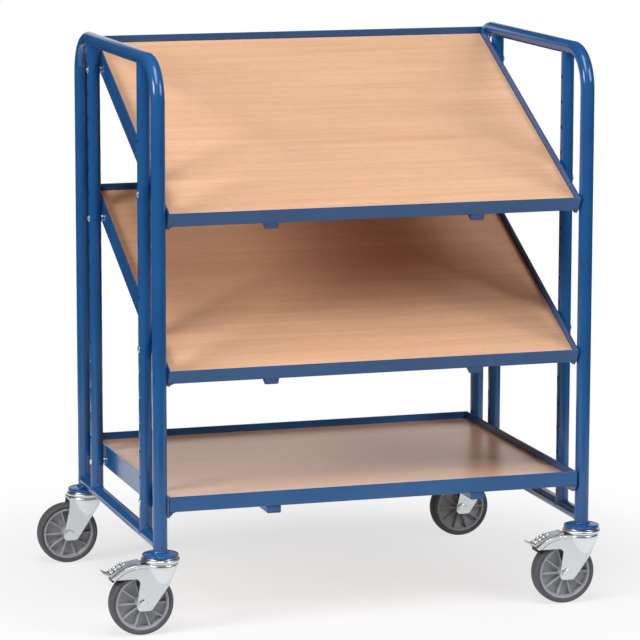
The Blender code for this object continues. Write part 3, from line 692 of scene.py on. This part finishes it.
def brake_pedal():
    """A bent foot plate with skirts, pressed grips and a raised lip, on a pin between the wings."""
    bend, toe = (-75, 138.5), (-103.5, 122.5)
    corners = [(-42, 144, 0.8), (*bend, 16), (*toe, 4), (-115, 128, 0.8)]
    corners += [(x, z - SHEET, radius) for x, z, radius in reversed(corners)]
    plate(rounded(corners, 6), -PEDAL_HALF, PEDAL_HALF)
    pick("EDGE", lambda at, way: abs(abs(at.y) - PEDAL_HALF) < 0.01 and abs(way.y) < 0.1)
    bevel(0.8)
    pedal = shaped(ZINC)
    slope = math.atan2(bend[1] - toe[1], bend[0] - toe[0])
    normal = Vector((-math.sin(slope), 0, math.cos(slope)))
    grip, spacing = (6.2, 12, 6), 7.6
    pieces = []
    for step in range(4):
        for across in (-7.4, 7.4):
            at = Vector((-74.5 - step * spacing, across, 137.8 - step * spacing * math.tan(slope)))
            begin(bpy.ops.mesh.primitive_cube_add, size=1, scale=grip, location=at, rotation=(0, -slope, 0))
            pick("FACE", lambda middle, way: way.dot(normal) > 0.9)
            bpy.ops.transform.resize(value=(0.86, 0.9, 0.86), center_override=at + normal * grip[2] / 2)
            pick("EDGE", lambda middle, way: abs(way.dot(normal)) > 0.7)
            bevel(1.6, 3)
            pick("FACE", lambda middle, way: way.dot(normal) > 0.9)
            bpy.ops.mesh.inset(thickness=1.1, depth=-1.8)
            pieces.append(shaped(ZINC, 25))
    for way in (-1, 1):
        skirt = rounded([(-43, 142.5, 0), (-75, 137, 16), (-103, 121, 0), (-100.5, 116.5, 2), (-75, 130, 12),
                         (-43, 134, 0)])
        plate(skirt, way * 13.8, way * 15.4)
        pieces.append(shaped(ZINC))
        lug = rounded([(-56, 137, 0.5), (-56, 130, 5.9), (-50, 126, 5), (-44, 130, 5.9), (-44, 142, 0.5)])
        plate(lug, way * 11.5, way * 14.5)
        pieces.append(shaped(ZINC))
    turned([(0, -23.6), (2.4, -23.6), (3, -23.1), (3, 23.1), (2.4, 23.6), (0, 23.6)], "Y", PIVOT, steps=32)
    pieces.append(shaped(ZINC))
    return join(pedal, *pieces)


def brake_shoe():
    """A block under the pedal, hollowed to the tyre's round."""
    face = [(AXLE.x + SHOE_R * math.cos(math.radians(angle)), AXLE.z + SHOE_R * math.sin(math.radians(angle)))
            for angle in range(118, 143, 3)]
    outline = [(-76.4, 134.2), *face, (-97.6, 107.4), (-98.8, 109.6), (-98.6, 113.5), (-99, 120.3)]
    plate(outline + outline[:1], -SHOE_HALF, SHOE_HALF)
    pick("EDGE", lambda at, way: abs(abs(at.y) - SHOE_HALF) < 0.01 and abs(way.y) < 0.1)
    bevel(0.6)
    return shaped(SHOE_BLACK)


# ---------------------------------------------------------------- putting it together

def build():
    """Models each piece once, and fits its copies."""
    models = {
        "bent_tube": bent_tube(), "lower_tube": lower_tube(), "punched_post": punched_post(),
        "foot_plate": foot_plate(), "rim": shelf_rim(), "board": shelf_board(), "channel": shelf_channel(),
        "fixing": shelf_fixing(), "swivel_head": swivel_head(), "plain_fork": castor_fork(False),
        "braked_fork": castor_fork(True), "axle_bolt": axle_bolt(), "hub": wheel_hub(), "tyre": wheel_tyre(),
        "pedal": brake_pedal(), "shoe": brake_shoe(),
    }
    for name in ("rim", "board", "channel", "plain_fork", "braked_fork", "hub", "pedal", "shoe"):
        apply(models[name], "WEIGHTED_NORMAL", keep_sharp=True)  # keeps flat sides flat up to their rounded edges
    for side, way in SIDES.items():
        x = way * FRAME_X
        fit(models["bent_tube"], f"{side}_bent_tube", f"{side}_push_frame", "frame", (x, 0, 0))
        fit(models["lower_tube"], f"{side}_lower_tube", f"{side}_cross_tube", "frame", (x, 0, 0))
        for end, fore in ENDS.items():
            fit(models["punched_post"], f"{side}_{end}_punched_post", f"{side}_{end}_post", "frame",
                (x, fore * POST_Y, 0))
            corner, leg = f"{end}_{side}", (x, fore * LEG_Y, 0)
            fit(models["foot_plate"], f"{corner}_foot_plate", f"{corner}_foot_disc", "frame", leg)
            fit(models["swivel_head"], f"{corner}_swivel_head", f"{corner}_castor_head", "frame", leg)
            fork = models["braked_fork" if end == "front" else "plain_fork"]
            fit(fork, f"{corner}_fork", f"{corner}_castor_fork", f"{corner}_fork", leg)
            fit(models["axle_bolt"], f"{corner}_axle_bolt", f"{corner}_castor_axle", f"{corner}_fork", leg)
            fit(models["hub"], f"{corner}_hub", f"{corner}_wheel_hub", f"{corner}_wheel", leg)
            fit(models["tyre"], f"{corner}_tyre", f"{corner}_wheel_tyre", f"{corner}_wheel", leg)
            if end == "front":
                fit(models["pedal"], f"{corner}_pedal", f"{corner}_brake_pedal", f"{corner}_pedal", leg)
                fit(models["shoe"], f"{corner}_shoe", f"{corner}_brake_shoe", f"{corner}_pedal", leg)
    for shelf, holes in SHELVES.items():
        heights = [LOWEST_HOLE_Z + hole * HOLE_SPACING for hole in holes]
        tilt = math.degrees(math.atan2(heights[1] - heights[0], BOLT_SPAN))
        place, lean = Vector((0, -POST_Y, heights[0])), (tilt, 0, 0)
        fit(models["rim"], f"{shelf}_rim", f"{shelf}_shelf_rim", "frame", place, lean)
        fit(models["board"], f"{shelf}_board", f"{shelf}_shelf_board", "frame", place, lean)
        for side, way in SIDES.items():
            fit(models["channel"], f"{shelf}_{side}_channel", f"{shelf}_shelf_{side}_stiffener", "frame",
                place + Vector((way * CHANNEL_X, 0, 0)), lean)
            for (end, fore), height in zip(ENDS.items(), heights):
                fit(models["fixing"], f"{shelf}_{end}_{side}_fixing", f"{shelf}_shelf_{end}_{side}_bolt", "frame",
                    (0, fore * POST_Y, height), (0, 0, 0 if side == "right" else 180))
    for model in models.values():
        clear(model)


build()


# ---------------------------------------------------------------- floor, light and camera

def seen(tree):
    """1 for what the camera sees, also in gloss or through something clear, and 0 for all other light."""
    path = add(tree, "ShaderNodeLightPath")
    eye = add(tree, "ShaderNodeMath", {0: path.outputs["Is Camera Ray"], 1: path.outputs["Is Glossy Ray"]},
              operation="MAXIMUM")
    eye = add(tree, "ShaderNodeMath", {0: eye.outputs["Value"], 1: path.outputs["Is Transmission Ray"]},
              operation="MAXIMUM")
    return eye.outputs["Value"]


# A floor that shows soft shadows near the wheels, and fades to white further out.
bpy.ops.object.select_all(action="DESELECT")
bpy.ops.mesh.primitive_plane_add(size=80, location=(0, 0, 0))
floor = bpy.context.object
floor.name = "floor"
STUDIO_FLOOR, tree, shader, place = material("white_studio_floor")
shader.inputs["Base Color"].default_value = colour("#F1F1F1")
shader.inputs["Roughness"].default_value = 0.9
shader.inputs["Specular IOR Level"].default_value = 0
white = add(tree, "ShaderNodeEmission", {"Color": (1, 1, 1, 1), "Strength": 1})
away = add(tree, "ShaderNodeVectorMath", {0: place}, operation="LENGTH")
fade = add(tree, "ShaderNodeMapRange", {"Value": away.outputs["Value"], "From Min": 0.4, "From Max": 1.2,
                                        "To Min": 0.7, "To Max": 1}, interpolation_type="SMOOTHSTEP")
share = add(tree, "ShaderNodeMath", {0: seen(tree), 1: fade.outputs["Result"]}, operation="MULTIPLY")
both = add(tree, "ShaderNodeMixShader", {0: share.outputs["Value"], 1: shader.outputs["BSDF"],
                                         2: white.outputs["Emission"]})
tree.links.new(both.outputs["Shader"], tree.nodes["Material Output"].inputs["Surface"])
floor.data.materials.append(STUDIO_FLOOR)

# Dark cloth round the studio, with a bright floor in the middle and a bright strip behind; gloss paint mirrors it.
BRIGHT_X, BRIGHT_Y = 2, (-1.6, 1.9)    # the bright floor, in metres
STRIP_X, STRIP_Z = -0.5, (0.55, 1.75)  # the left end of the strip, and its heights


def uncovered(at, way):
    """Tells the faces that the cloth leaves open."""
    below = way.z < -0.9 and abs(at.x) < BRIGHT_X and BRIGHT_Y[0] < at.y < BRIGHT_Y[1]
    behind = way.y > 0.9 and at.x > STRIP_X and STRIP_Z[0] < at.z < STRIP_Z[1]
    return below or behind


begin(bpy.ops.mesh.primitive_cube_add, size=1, scale=(14, 9.6, 5.6), location=(0, -2.2, 2.81))
cuts = [((x, 0, 0), (1, 0, 0)) for x in (-BRIGHT_X, STRIP_X, BRIGHT_X)]
cuts += [((0, y, 0), (0, 1, 0)) for y in BRIGHT_Y]
cuts += [((0, 0, z), (0, 0, 1)) for z in STRIP_Z]
for edge, way in cuts:
    pick_all()
    bpy.ops.mesh.bisect(plane_co=edge, plane_no=way)
pick("FACE", uncovered)
bpy.ops.mesh.delete(type="FACE")
bpy.ops.object.mode_set(mode="OBJECT")
walls = bpy.context.object
walls.name = "dark_walls"
walls.visible_camera = False
DARK_CLOTH, tree, shader, place = material("dark_cloth")
shader.inputs["Base Color"].default_value = colour("#333333")
shader.inputs["Roughness"].default_value = 1
walls.data.materials.append(DARK_CLOTH)

world = bpy.data.worlds.new("studio")
world.use_nodes = True
bpy.context.scene.world = world
tree = world.node_tree
level = add(tree, "ShaderNodeMapRange", {"Value": seen(tree), "To Min": 0.15, "To Max": 1})
tree.nodes["Background"].inputs["Color"].default_value = (1, 1, 1, 1)
tree.links.new(level.outputs["Result"], tree.nodes["Background"].inputs["Strength"])


def softbox(name, place, target, size, power):
    """A soft lamp of a size in metres, turned to a target."""
    bpy.ops.object.light_add(type="AREA", location=place)
    lamp = bpy.context.object
    lamp.name = lamp.data.name = name
    lamp.data.shape = "RECTANGLE"
    lamp.data.size, lamp.data.size_y = size
    lamp.data.energy = power
    lamp.rotation_euler = (Vector(target) - Vector(place)).to_track_quat("-Z", "Y").to_euler()


softbox("overhead_light", (-0.65, -1.6, 4.1), (-0.1, -0.1, 0.7), (1.5, 2.8), 90)
softbox("left_light", (-3.5, -1.3, 2.35), (0, 0, 0.6), (1.4, 1.4), 92)
softbox("right_light", (2.05, -2.4, 2.5), (0, 0, 0.6), (1.5, 1.5), 50)

bpy.ops.object.camera_add(location=(-2.03145, -6.6095, 1.7091))
camera = bpy.context.object
heading, pitch, roll = (Matrix.Rotation(math.radians(angle), 3, axis)
                        for angle, axis in ((-17.261, "Z"), (80.382, "X"), (0.1, "Z")))
camera.rotation_euler = (heading @ pitch @ roll).to_euler()
camera.data.sensor_width = 36
camera.data.lens = 196.88
camera.data.clip_end = 100
bpy.context.scene.camera = camera
bpy.context.scene.view_settings.view_transform = "Standard"
